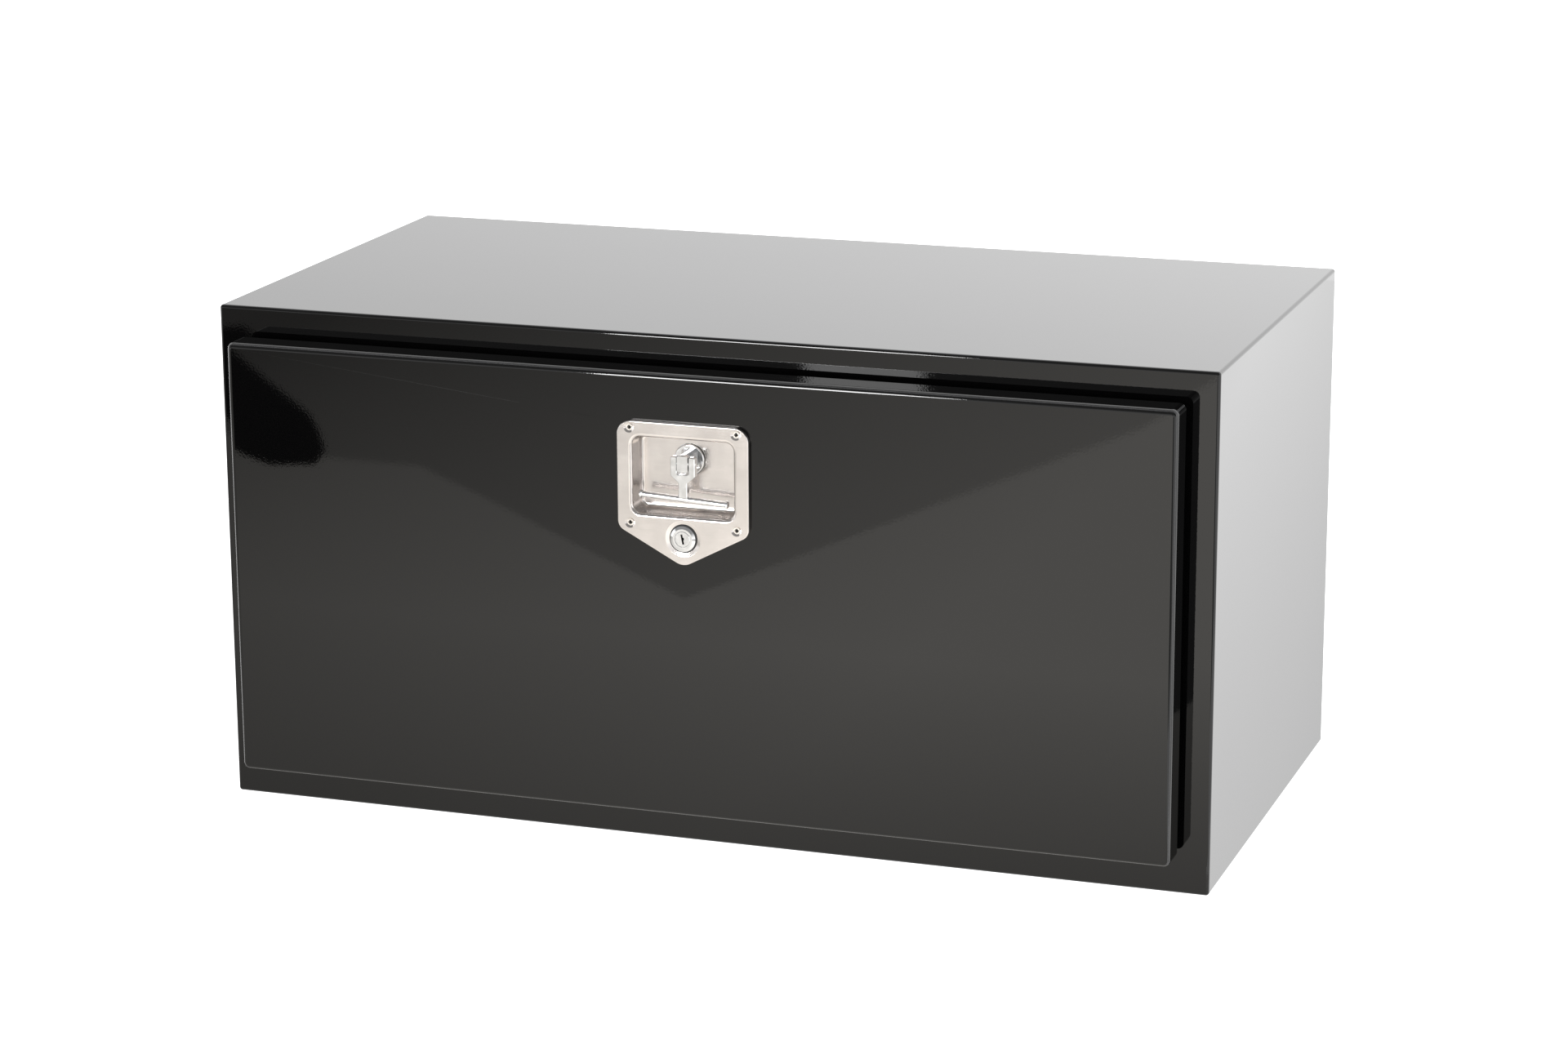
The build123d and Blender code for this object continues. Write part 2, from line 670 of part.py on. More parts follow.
def make_lock_plug():
    """Turning plug with its keyway, and the square tail that carries the lock's cam."""
    plug = disc(0, LOCK_Z, PLUG_RADIUS, PLATE_FACE - LOCK_HEAD_PROUD - 0.2, LOCK_REAR + 2.0)
    plug = chamfer(plug.faces().sort_by(Axis.Y)[0].edges(), PLUG_BEVEL)
    slot = Rectangle(KEYWAY_WIDTH, KEYWAY_LENGTH) + Pos(0.9, 0.4) * Rectangle(1.4, 2.2)
    slot = Pos(0, LOCK_Z) * Rot(0, 0, KEYWAY_LEAN) * slot
    plug -= slab(slot, PLATE_FACE - 3, PLATE_FACE + KEYWAY_DEPTH)
    cam_back = LOCK_CAM_FRONT + LOCK_CAM_THICKNESS
    plug += disc(0, LOCK_Z, PLUG_RADIUS - 1.5, LOCK_REAR + 1.0, LOCK_CAM_FRONT)
    square = Pos(0, LOCK_Z) * Rectangle(LOCK_CAM_SQUARE, LOCK_CAM_SQUARE)
    plug += slab(square, LOCK_CAM_FRONT - 1, cam_back)
    return plug + disc(0, LOCK_Z, LOCK_STUD_RADIUS, cam_back - 1, cam_back + CAM_NUT_HEIGHT + 1.5)


def make_lock_cam():
    """Cam that swings up beside the tongue's tail. It points to +X while unlocked."""
    eye = Pos(0, 0) * Circle(9.0)
    arm = Pos(12.0, 0) * Rectangle(26.0, 12.0)
    finger = Pos(31.0, -8.3) * Rectangle(14.0, 4.0)
    shoulder = Pos(24.0, -7.0) * Rectangle(5.0, 6.6)
    outline = eye + arm + finger + shoulder - Rectangle(LOCK_CAM_SQUARE, LOCK_CAM_SQUARE)
    return slab(Pos(0, LOCK_Z) * outline, LOCK_CAM_FRONT, LOCK_CAM_FRONT + LOCK_CAM_THICKNESS)


def make_lock_cam_nut():
    """Nut that holds the cam on the plug's tail."""
    front = LOCK_CAM_FRONT + LOCK_CAM_THICKNESS
    back = front + CAM_NUT_HEIGHT
    nut = slab(Pos(0, LOCK_Z) * RegularPolygon(CAM_NUT_ACROSS / 2, 6, major_radius=False), front, back)
    return nut - disc(0, LOCK_Z, LOCK_STUD_RADIUS, front - 1, back + 1)


# ---------------------------------------------------------------- spindle and tongue


def make_latch_spindle():
    """Hub seen in the dish, with the handle's lug in front and the shaft behind."""
    hub_front = DISH_FLOOR - HUB_PROUD
    hub_back = hub_front + HUB_THICKNESS
    hub = disc(0, SPINDLE_Z, HUB_RADIUS, hub_front, hub_back)
    hub = fillet(hub.faces().sort_by(Axis.Y)[0].edges(), 1.0)
    lug_side = Pos((HANDLE_Y + hub_back) / 2, SPINDLE_Z) * Rectangle(hub_back - HANDLE_Y, 2 * LUG_RADIUS)
    lug = strap(lug_side, -LUG_HALF_WIDTH, LUG_HALF_WIDTH)
    lug += roller(HANDLE_Y, SPINDLE_Z, LUG_RADIUS, -LUG_HALF_WIDTH, LUG_HALF_WIDTH)
    lug &= disc(0, SPINDLE_Z, LUG_RADIUS, HANDLE_Y - LUG_RADIUS, hub_back)
    lug &= block(-20, 20, HANDLE_Y - PRONG_HALF_THICKNESS - 0.4, hub_back, 300, 400)
    shaft = disc(0, SPINDLE_Z, SPINDLE_RADIUS, hub_back - 1, TONGUE_FRONT)
    tongue_back = TONGUE_FRONT + TONGUE_THICKNESS
    square = Pos(0, SPINDLE_Z) * Rectangle(TONGUE_SQUARE, TONGUE_SQUARE)
    shaft += slab(square, TONGUE_FRONT - 1, tongue_back)
    shaft += disc(0, SPINDLE_Z, STUD_RADIUS, tongue_back - 1, SPINDLE_END)
    pin_bore = roller(HANDLE_Y, SPINDLE_Z, HANDLE_PIN_RADIUS + RUNNING_CLEARANCE, -20, 20)
    return hub + lug + shaft - pin_bore


def make_spindle_housing():
    """Bearing housing welded behind the dish, in which the spindle turns."""
    front = DISH_FLOOR + DISH_SHEET
    housing = disc(0, SPINDLE_Z, HOUSING_RADIUS, front, HOUSING_REAR)
    housing = chamfer(housing.faces().sort_by(Axis.Y)[-1].edges(), 2.0)
    hub_back = DISH_FLOOR - HUB_PROUD + HUB_THICKNESS
    housing -= disc(0, SPINDLE_Z, HUB_RADIUS + HUB_GAP, front - 1, hub_back + 0.4)
    return housing - disc(0, SPINDLE_Z, SPINDLE_RADIUS + RUNNING_CLEARANCE, front, HOUSING_REAR + 1)


def make_spindle_collar():
    """Spacer collar between the housing and the tongue."""
    collar = disc(0, SPINDLE_Z, SPINDLE_RADIUS + COLLAR_WALL, HOUSING_REAR + 0.4, TONGUE_FRONT)
    return collar - disc(0, SPINDLE_Z, SPINDLE_RADIUS, HOUSING_REAR, TONGUE_FRONT + 1)


def make_latch_tongue():
    """Flat steel tongue with a tail. It points to +X while unlatched and turns up to latch."""
    body_length = TONGUE_REACH - TONGUE_HALF_WIDTH
    blade = Pos(body_length / 2, 0) * Rectangle(body_length, 2 * TONGUE_HALF_WIDTH)
    tip = Pos(body_length, 0) * Circle(TONGUE_HALF_WIDTH)
    tail = Pos(-TAIL_REACH / 2, 0) * Rectangle(TAIL_REACH, 2 * TAIL_HALF_WIDTH)
    outline = blade + tip + Circle(TONGUE_HALF_WIDTH) + tail
    outline -= Rectangle(TONGUE_SQUARE, TONGUE_SQUARE)
    return slab(Pos(0, SPINDLE_Z) * outline, TONGUE_FRONT, TONGUE_FRONT + TONGUE_THICKNESS)


def make_tongue_washer():
    """Washer between the tongue and its nut."""
    front = TONGUE_FRONT + TONGUE_THICKNESS
    back = front + WASHER_SHEET
    washer = disc(0, SPINDLE_Z, WASHER_RADIUS, front, back)
    return washer - disc(0, SPINDLE_Z, STUD_RADIUS, front - 1, back + 1)


def make_tongue_nut():
    """Lock nut on the spindle's threaded end."""
    front = TONGUE_FRONT + TONGUE_THICKNESS + WASHER_SHEET
    back = front + TONGUE_NUT_HEIGHT
    hexagon = Pos(0, SPINDLE_Z) * RegularPolygon(TONGUE_NUT_ACROSS / 2, 6, major_radius=False)
    return slab(hexagon, front, back) - disc(0, SPINDLE_Z, STUD_RADIUS, front - 1, back + 1)


# ---------------------------------------------------------------- handle


def crossbar_rod(radius, half_length):
    """Round rod along the crossbar's line, its right end hanging a little low."""
    rod = roller(0, 0, radius, -half_length, half_length)
    return Pos(0, HANDLE_Y, BAR_Z) * Rot(0, BAR_LEAN, 0) * rod


def shank_outline():
    """Front view of the fork and its shank, down to the seat on the crossbar."""
    seat = BAR_Z + 0.6 * BAR_RADIUS
    half = [
        (0, seat),
        (SHANK_HALF_WIDTH, seat),
        (SHANK_HALF_WIDTH, SHANK_TOP),
        (PRONG_OUTER, FORK_SHOULDER + 1.4),
        (PRONG_OUTER, PRONG_TOP - 1.0),
        (PRONG_OUTER - 1.6, PRONG_TOP),
        (PRONG_INNER + 1.0, PRONG_TOP),
        (PRONG_INNER, PRONG_TOP - 1.0),
        (PRONG_INNER, FORK_FLOOR + 1.2),
        (PRONG_INNER - 1.4, FORK_FLOOR),
        (0, FORK_FLOOR),
    ]
    return make_face(Polyline(*half, *[(-x, z) for x, z in reversed(half[1:-1])], close=True))


def make_handle_shank():
    """Forked chromed shank that straddles the lug and ends in a seat on the crossbar."""
    front = HANDLE_Y - PRONG_HALF_THICKNESS
    back = HANDLE_Y + PRONG_HALF_THICKNESS
    shank = slab(shank_outline(), front, back)
    shank = chamfer(shank.faces().sort_by(Axis.Y)[0].edges(), SHANK_BEVEL)
    half_room = 2 * PRONG_OUTER
    prong_eyes = strap(Pos(HANDLE_Y, SPINDLE_Z) * Circle(PRONG_EYE_RADIUS), -half_room, half_room)
    heel = block(-half_room, half_room, front - 1, back + 1, SPINDLE_Z, SPINDLE_Z + 20)
    shank -= heel - prong_eyes
    shank -= crossbar_rod(BAR_RADIUS, half_room)
    return shank - roller(HANDLE_Y, SPINDLE_Z, HANDLE_PIN_RADIUS, -half_room, half_room)


def make_handle_crossbar():
    """Round crossbar with upset ends, welded across the shank's end."""
    head = roller(0, 0, BAR_HEAD_RADIUS, BAR_HALF_LENGTH - BAR_HEAD_LENGTH, BAR_HALF_LENGTH)
    outer_rim = head.faces().sort_by(Axis.X)[-1].edges()
    head = fillet(outer_rim, BAR_HEAD_ROUND)
    head = chamfer(head.faces().sort_by(Axis.X)[0].edges(), BAR_HEAD_BEVEL)
    rod = roller(0, 0, BAR_RADIUS, -BAR_HALF_LENGTH + 0.5, BAR_HALF_LENGTH - 0.5)
    bar = rod + head + mirrored(head)
    return Pos(0, HANDLE_Y, BAR_Z) * Rot(0, BAR_LEAN, 0) * bar


def make_handle_pivot_pin():
    """Pin through the fork and the spindle's lug."""
    pin = roller(HANDLE_Y, SPINDLE_Z, HANDLE_PIN_RADIUS, -PRONG_OUTER - 0.3, PRONG_OUTER + 0.3)
    ends = pin.faces().sort_by(Axis.X)[0].edges() + pin.faces().sort_by(Axis.X)[-1].edges()
    return chamfer(ends, 0.4)


# ---------------------------------------------------------------- stays


def knee_place():
    """Y and Z of the knee joint with the door shut: where the two links' circles cross."""
    run = STAY_DOOR_PIVOT[0] - STAY_REAR_PIVOT[0]
    rise = STAY_DOOR_PIVOT[1] - STAY_REAR_PIVOT[1]
    span = sqrt(run * run + rise * rise)
    along = (REAR_LINK**2 - FRONT_LINK**2 + span * span) / (2 * span)
    across = sqrt(REAR_LINK**2 - along * along)
    y = STAY_REAR_PIVOT[0] + along * run / span + across * rise / span
    z = STAY_REAR_PIVOT[1] + along * rise / span - across * run / span
    return y, z


def link_outline(start, end, start_half, end_half):
    """Flat bar between two centres, with round ends."""
    angle = atan2(end[1] - start[1], end[0] - start[0])
    length = sqrt((end[0] - start[0]) ** 2 + (end[1] - start[1]) ** 2)
    half = LINK_HALF_WIDTH
    bar = Pos(length / 2, 0) * Rectangle(length, 2 * half)
    outline = bar + Circle(start_half) + Pos(length, 0) * Circle(end_half)
    return Pos(start[0], start[1]) * Rot(0, 0, degrees(angle)) * outline


def make_stay_bracket():
    """Plate welded inside the lip that carries the rear link's pivot."""
    y, z = STAY_REAR_PIVOT
    tab = Pos((FRONT - 14.0 + y) / 2, z) * Rectangle(y - FRONT + 14.0, 30)
    outline = tab + Pos(y, z) * Circle(12.0) + Pos(y, z - 7.5) * Rectangle(18, 15)
    bracket = strap(outline, BRACKET_INNER, LIP_HALF_WIDTH - LIP_SHEET)
    return bracket - roller(y, z, STAY_PIN_RADIUS, BRACKET_INNER - 1, LIP_HALF_WIDTH)


def make_rear_link():
    """Link from the cabinet's bracket to the knee."""
    knee = knee_place()
    outline = link_outline(STAY_REAR_PIVOT, knee, LINK_HALF_WIDTH + 1.5, LINK_HALF_WIDTH)
    link = strap(outline, REAR_LINK_INNER, REAR_LINK_INNER + LINK_SHEET)
    outer = REAR_LINK_INNER + LINK_SHEET
    bore = STAY_PIN_RADIUS + RUNNING_CLEARANCE
    link -= roller(*STAY_REAR_PIVOT, bore, REAR_LINK_INNER - 1, outer + 1)
    return link - roller(*knee, KNEE_PIN_RADIUS, REAR_LINK_INNER - 1, outer + 1)


def make_knee_pin():
    """Headed pin, riveted in the rear link, that holds the front link at the knee."""
    knee = knee_place()
    outer = REAR_LINK_INNER + LINK_SHEET
    head_outer = FRONT_LINK_INNER - 0.4
    pin = roller(*knee, KNEE_PIN_RADIUS, head_outer - 1.2, outer)
    return pin + roller(*knee, KNEE_HEAD_RADIUS, head_outer - 1.2, head_outer)


def make_front_link():
    """Link from the knee to the door's bracket."""
    knee = knee_place()
    outline = link_outline(STAY_DOOR_PIVOT, knee, LINK_HALF_WIDTH, KNEE_HALF_WIDTH)
    outer = FRONT_LINK_INNER + LINK_SHEET
    link = strap(outline, FRONT_LINK_INNER, outer)
    bore = STAY_PIN_RADIUS + RUNNING_CLEARANCE
    link -= roller(*STAY_DOOR_PIVOT, bore, FRONT_LINK_INNER - 1, outer + 1)
    return link - roller(*knee, KNEE_HOLE_RADIUS, FRONT_LINK_INNER - 1, outer + 1)


def make_stay_door_bracket():
    """Angle bracket welded behind the door's face, with an ear for the front link."""
    y, z = STAY_DOOR_PIVOT
    outer = DOOR_BRACKET_INNER + LINK_SHEET
    ear = Pos((DOOR_INSIDE + y) / 2, z) * Rectangle(y - DOOR_INSIDE, 24) + Pos(y, z) * Circle(9.0)
    bracket = strap(ear, DOOR_BRACKET_INNER, outer)
    bracket += block(DOOR_BRACKET_INNER - 22, outer, DOOR_INSIDE, DOOR_INSIDE + LINK_SHEET, z - 12, z + 12)
    return bracket - roller(y, z, STAY_PIN_RADIUS, DOOR_BRACKET_INNER - 1, outer + 1)


def make_stay_rear_pivot():
    """Shouldered rivet that holds the rear link on the cabinet's bracket."""
    y, z = STAY_REAR_PIVOT
    plate_outer = LIP_HALF_WIDTH - LIP_SHEET
    rivet = roller(y, z, STAY_PIN_RADIUS, REAR_LINK_INNER - 0.3, plate_outer)
    rivet += roller(y, z, STAY_HEAD_RADIUS, REAR_LINK_INNER - 1.6, REAR_LINK_INNER - 0.3)
    rivet += roller(y, z, STAY_HEAD_RADIUS, REAR_LINK_INNER + LINK_SHEET + 0.2, BRACKET_INNER)
    return rivet + roller(y, z, STAY_HEAD_RADIUS, plate_outer, plate_outer + 1.3)


def make_stay_door_pivot():
    """Shouldered rivet that holds the front link on the door's bracket."""
    y, z = STAY_DOOR_PIVOT
    link_outer = FRONT_LINK_INNER + LINK_SHEET
    rivet = roller(y, z, STAY_PIN_RADIUS, DOOR_BRACKET_INNER, link_outer + 0.2)
    rivet += roller(y, z, STAY_HEAD_RADIUS, DOOR_BRACKET_INNER - 1.2, DOOR_BRACKET_INNER)
    return rivet + roller(y, z, STAY_HEAD_RADIUS - 0.5, link_outer + 0.2, link_outer + 1.0)


# ---------------------------------------------------------------- output


def write(name, solids):
    """Export one node. A list of separate solids becomes one group."""
    shape = Compound(children=[s.solid() for s in solids]) if isinstance(solids, list) else solids
    export_step(shape, f"parts/{name}.step")


SINGLE_PIECES = {
    "body_wrap": make_body_wrap,
    "back_panel": make_back_panel,
    "mouth_frame": make_mouth_frame,
    "drip_lip": make_drip_lip,
    "door_seal": make_door_seal,
    "strike_plate": make_strike_plate,
    "hinge_body_leaf": make_hinge_body_leaf,
    "hinge_pin": make_hinge_pin,
    "hinge_body_rivets": make_hinge_body_rivets,
    "hinge_door_leaf": make_hinge_door_leaf,
    "hinge_door_rivets": make_hinge_door_rivets,
    "door_pan": make_door_pan,
    "latch_gasket": make_latch_gasket,
    "latch_dish": make_latch_dish,
    "plate_screws": make_plate_screws,
    "plate_nuts": make_plate_nuts,
    "lock_housing": make_lock_housing,
    "lock_seal_ring": make_lock_seal_ring,
    "lock_nut": make_lock_nut,
    "lock_plug": make_lock_plug,
    "lock_cam": make_lock_cam,
    "lock_cam_nut": make_lock_cam_nut,
    "spindle_housing": make_spindle_housing,
    "latch_spindle": make_latch_spindle,
    "spindle_collar": make_spindle_collar,
    "latch_tongue": make_latch_tongue,
    "tongue_washer": make_tongue_washer,
    "tongue_nut": make_tongue_nut,
    "handle_shank": make_handle_shank,
    "handle_crossbar": make_handle_crossbar,
    "handle_pivot_pin": make_handle_pivot_pin,
}

PAIRED_PIECES = {
    "door_stiffener": make_stiffener,
    "stay_bracket": make_stay_bracket,
    "stay_rear_pivot": make_stay_rear_pivot,
    "stay_rear_link": make_rear_link,
    "stay_knee_pin": make_knee_pin,
    "stay_front_link": make_front_link,
    "stay_door_pivot": make_stay_door_pivot,
    "stay_door_bracket": make_stay_door_bracket,
}

os.makedirs("parts", exist_ok=True)
for piece_name, maker in SINGLE_PIECES.items():
    write(piece_name, maker())
for piece_name, maker in PAIRED_PIECES.items():
    right_piece = maker()
    write(f"{piece_name}_right", right_piece)
    write(f"{piece_name}_left", mirrored(right_piece))
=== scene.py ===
"""Looks for the truck tool box: finishes on the CAD pieces, studio and camera.

Metres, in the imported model's own frame: +Z up, the door faces -Y.
"""

import json
import math

import bpy
from mathutils import Matrix, Vector


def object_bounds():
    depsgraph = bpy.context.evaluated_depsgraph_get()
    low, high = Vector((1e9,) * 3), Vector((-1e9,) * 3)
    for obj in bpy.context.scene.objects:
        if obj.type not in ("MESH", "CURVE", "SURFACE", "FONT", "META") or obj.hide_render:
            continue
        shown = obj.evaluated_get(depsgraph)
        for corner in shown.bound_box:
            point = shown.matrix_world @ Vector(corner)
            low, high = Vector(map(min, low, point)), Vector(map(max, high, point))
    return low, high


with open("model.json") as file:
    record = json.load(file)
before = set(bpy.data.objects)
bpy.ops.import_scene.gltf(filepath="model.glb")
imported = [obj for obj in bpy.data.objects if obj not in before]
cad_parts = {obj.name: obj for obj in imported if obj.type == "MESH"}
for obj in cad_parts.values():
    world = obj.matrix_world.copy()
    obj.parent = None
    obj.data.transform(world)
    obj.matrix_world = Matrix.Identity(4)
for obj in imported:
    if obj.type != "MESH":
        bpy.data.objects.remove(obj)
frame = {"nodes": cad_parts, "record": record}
cad_low, cad_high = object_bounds()

MM = 0.001


# ---------------------------------------------------------------- materials

SCREW_X = 0.0487
SCREW_MIDDLE_Z = 0.34205
SCREW_HALF_SPAN = 0.04215
RECESS_SHADE_EDGE = (1.2 * MM, 2.0 * MM)  # distances from a screw's axis over which the painted recess shade fades out
INNER_DULLNESS = 0.3  # roughness added to the coat on the inside of the sheet
CABINET_INSIDE = ((-0.4562, -0.2276, 0.001), (0.4562, 0.2276, 0.4562))
DOOR_INSIDE = ((-0.4308, -0.2676, 0.037), (0.4308, -0.2, 0.431))


class Shader:
    """A node material under construction, with a Principled surface."""

    def __init__(self, name):
        self.material = bpy.data.materials.new(name)
        self.material.use_nodes = True
        self.tree = self.material.node_tree
        self.surface = self.tree.nodes["Principled BSDF"]
        self.place = self.tree.nodes.new("ShaderNodeTexCoord")

    def set(self, **values):
        """Set plain numbers and colours on the surface's own sockets."""
        for key, value in values.items():
            self.surface.inputs[key.replace("_", " ")].default_value = value

    def link(self, source, target):
        """Join an output to an input."""
        self.tree.links.new(source, target)

    def stretched(self, scale):
        """Object coordinates multiplied by a scale for each axis."""
        mapping = self.tree.nodes.new("ShaderNodeMapping")
        mapping.inputs["Scale"].default_value = scale
        self.link(self.place.outputs["Object"], mapping.inputs["Vector"])
        return mapping.outputs["Vector"]

    def noise(self, scale, detail=2.0, roughness=0.5, vector=None):
        """Noise of about 0.3 to 0.7, in object coordinates unless a vector is given."""
        node = self.tree.nodes.new("ShaderNodeTexNoise")
        node.inputs["Scale"].default_value = scale
        node.inputs["Detail"].default_value = detail
        node.inputs["Roughness"].default_value = roughness
        self.link(vector or self.place.outputs["Object"], node.inputs["Vector"])
        return node.outputs["Fac"]

    def spread(self, source, low, high, source_low=0.3, source_high=0.7):
        """Map a value onto a range of numbers."""
        node = self.tree.nodes.new("ShaderNodeMapRange")
        node.inputs["From Min"].default_value = source_low
        node.inputs["From Max"].default_value = source_high
        node.inputs["To Min"].default_value = low
        node.inputs["To Max"].default_value = high
        self.link(source, node.inputs["Value"])
        return node.outputs["Result"]

    def tint(self, source, low, high, source_low=0.3, source_high=0.7):
        """Map a value from 0 to 1 onto a range of colours."""
        ramp = self.tree.nodes.new("ShaderNodeValToRGB")
        ramp.color_ramp.elements[0].position = source_low
        ramp.color_ramp.elements[0].color = (*low, 1)
        ramp.color_ramp.elements[1].position = source_high
        ramp.color_ramp.elements[1].color = (*high, 1)
        self.link(source, ramp.inputs["Fac"])
        return ramp.outputs["Color"]

    def math(self, operation, first, second):
        """Result of a math node on two values, each a number or a node's output."""
        node = self.tree.nodes.new("ShaderNodeMath")
        node.operation = operation
        for value, socket in zip((first, second), node.inputs):
            if isinstance(value, (int, float)):
                socket.default_value = value
            else:
                self.link(value, socket)
        return node.outputs["Value"]

    def within(self, low, high):
        """1 inside a box of object coordinates and 0 outside it."""
        axes = self.tree.nodes.new("ShaderNodeSeparateXYZ")
        self.link(self.place.outputs["Object"], axes.inputs["Vector"])
        inside = 1
        for axis, least, most in zip("XYZ", low, high):
            above = self.math("GREATER_THAN", axes.outputs[axis], least)
            below = self.math("LESS_THAN", axes.outputs[axis], most)
            inside = self.math("MULTIPLY", self.math("MULTIPLY", above, below), inside)
        return inside

    def mixed(self, factor, first, second):
        """First colour where the factor is 0, second where it is 1."""
        node = self.tree.nodes.new("ShaderNodeMixRGB")
        self.link(factor, node.inputs["Fac"])
        self.link(first, node.inputs["Color1"])
        self.link(second, node.inputs["Color2"])
        return node.outputs["Color"]

    def distance_from_screws(self):
        """Distance from the nearest of the plate's four screw axes."""
        axes = self.tree.nodes.new("ShaderNodeSeparateXYZ")
        self.link(self.place.outputs["Object"], axes.inputs["Vector"])
        beside = self.math("SUBTRACT", self.math("ABSOLUTE", axes.outputs["X"], 0), SCREW_X)
        from_middle = self.math("SUBTRACT", axes.outputs["Z"], SCREW_MIDDLE_Z)
        above = self.math("SUBTRACT", self.math("ABSOLUTE", from_middle, 0), SCREW_HALF_SPAN)
        squares = self.math("ADD", self.math("POWER", beside, 2), self.math("POWER", above, 2))
        return self.math("SQRT", squares, 0)

    def bump(self, height, distance, strength=1.0, below=None):
        """Normal bent by a height, on top of another bump if one is given."""
        node = self.tree.nodes.new("ShaderNodeBump")
        node.inputs["Strength"].default_value = strength
        node.inputs["Distance"].default_value = distance
        self.link(height, node.inputs["Height"])
        if below:
            self.link(below, node.inputs["Normal"])
        return node.outputs["Normal"]


def powder_coat(name, inner_low, inner_high):
    """Gloss black powder coat on sheet, greyer and duller inside the given box."""
    shader = Shader(name)
    shader.set(IOR=1.5, Metallic=0.0)
    inner = shader.within(inner_low, inner_high)
    speckle = shader.noise(900.0, detail=3.0)
    gloss = shader.tint(speckle, (0.0006, 0.0006, 0.0007), (0.0013, 0.0012, 0.0012))
    dull = shader.tint(speckle, (0.022, 0.022, 0.023), (0.034, 0.034, 0.035))
    shader.link(shader.mixed(inner, gloss, dull), shader.surface.inputs["Base Color"])
    patches = shader.spread(shader.noise(9.0, detail=4.0), 0.012, 0.03)
    dulled = shader.math("MULTIPLY", inner, INNER_DULLNESS)
    shader.link(shader.math("ADD", patches, dulled), shader.surface.inputs["Roughness"])
    waviness = shader.bump(shader.noise(5.0, detail=1.0), 0.4 * MM, 0.25)
    peel = shader.bump(shader.noise(620.0, detail=1.5), 0.01 * MM, 0.55, below=waviness)
    shader.link(peel, shader.surface.inputs["Normal"])
    return shader.material


def satin_stainless():
    """Pressed stainless steel with a fine brushed grain along the width."""
    shader = Shader("satin_stainless")
    shader.set(Metallic=1.0, Anisotropic=0.3)
    cloud = shader.noise(35.0, detail=3.0)
    shader.link(
        shader.tint(cloud, (0.65, 0.612, 0.588), (0.74, 0.698, 0.672)),
        shader.surface.inputs["Base Color"],
    )
    grain = shader.noise(1.0, detail=4.0, roughness=0.7, vector=shader.stretched((60, 1800, 2600)))
    shader.link(shader.spread(grain, 0.15, 0.25), shader.surface.inputs["Roughness"])
    shader.link(shader.bump(grain, 0.002 * MM, 0.3), shader.surface.inputs["Normal"])
    return shader.material


def screw_stainless():
    """Stainless screw heads, with painted shade darkening the middle of each cross recess."""
    shader = Shader("screw_stainless")
    shader.set(Metallic=1.0)
    # Painted shade: the steel colour falls to near black towards each screw's axis, standing in for
    # the shade inside the cross recess.
    unshaded = shader.spread(shader.distance_from_screws(), 0.0, 1.0, *RECESS_SHADE_EDGE)
    shader.link(
        shader.tint(unshaded, (0.02, 0.02, 0.02), (0.72, 0.68, 0.63), 0.0, 1.0),
        shader.surface.inputs["Base Color"],
    )
    scuffs = shader.noise(900.0, detail=3.0)
    shader.link(shader.spread(scuffs, 0.2, 0.34), shader.surface.inputs["Roughness"])
    shader.link(shader.bump(scuffs, 0.01 * MM, 0.4), shader.surface.inputs["Normal"])
    return shader.material


def polished_chrome():
    """Bright chrome plate over cast parts, with faint handling haze."""
    shader = Shader("polished_chrome")
    shader.set(Metallic=1.0)
    haze = shader.noise(160.0, detail=3.0)
    shader.link(
        shader.tint(haze, (0.76, 0.765, 0.77), (0.86, 0.86, 0.865)),
        shader.surface.inputs["Base Color"],
    )
    shader.link(shader.spread(haze, 0.08, 0.17), shader.surface.inputs["Roughness"])
    shader.link(shader.bump(shader.noise(420.0), 0.01 * MM, 0.5), shader.surface.inputs["Normal"])
    return shader.material


def zinc_plate():
    """Bright zinc plate with the mottled, faintly yellow and blue passivated film."""
    shader = Shader("zinc_plate")
    shader.set(Metallic=1.0)
    film = shader.noise(55.0, detail=5.0, roughness=0.6)
    shader.link(
        shader.tint(film, (0.46, 0.49, 0.54), (0.66, 0.63, 0.56)),
        shader.surface.inputs["Base Color"],
    )
    spangle = shader.noise(240.0, detail=3.0)
    shader.link(shader.spread(spangle, 0.28, 0.46), shader.surface.inputs["Roughness"])
    shader.link(shader.bump(spangle, 0.01 * MM, 0.5), shader.surface.inputs["Normal"])
    return shader.material


def black_rubber():
    """Moulded black rubber with a fine matt grain."""
    shader = Shader("black_rubber")
    shader.set(Metallic=0.0, IOR=1.45)
    grain = shader.noise(700.0, detail=4.0)
    shader.link(
        shader.tint(grain, (0.010, 0.010, 0.011), (0.024, 0.024, 0.025)),
        shader.surface.inputs["Base Color"],
    )
    shader.link(shader.spread(grain, 0.5, 0.75), shader.surface.inputs["Roughness"])
    shader.link(shader.bump(grain, 0.05 * MM, 0.6), shader.surface.inputs["Normal"])
    return shader.material


FINISHES = {
    "gloss_black": powder_coat("cabinet_powder_coat", *CABINET_INSIDE),
    "stainless": satin_stainless(),
    "chrome": polished_chrome(),
    "zinc_steel": zinc_plate(),
    "black_rubber": black_rubber(),
}
DOOR_COAT = powder_coat("door_powder_coat", *DOOR_INSIDE)
NODE_FINISHES = {
    "plate_screws": screw_stainless(),
    "door_pan": DOOR_COAT,
    "door_stiffener_right": DOOR_COAT,
    "door_stiffener_left": DOOR_COAT,
}


def finish_cad_nodes():
    """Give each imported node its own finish, or else the finish of its slot."""
    for entry in frame["record"]["subparts"]:
        node = frame["nodes"][entry["node"]]
        material = NODE_FINISHES.get(entry["node"], FINISHES[entry["material_slot"]])
        node.data.materials.clear()
        node.data.materials.append(material)


# ---------------------------------------------------------------- studio

ACROSS = (1, 0, 0)
DEEPER = (0, 1, 0)
UPWARD = (0, 0, 1)
WHITE = (1, 1, 1)
WARM = (1.03, 1.0, 0.945)
CABINET_FRONT = -0.2286
CABINET_SIDE = 0.4572

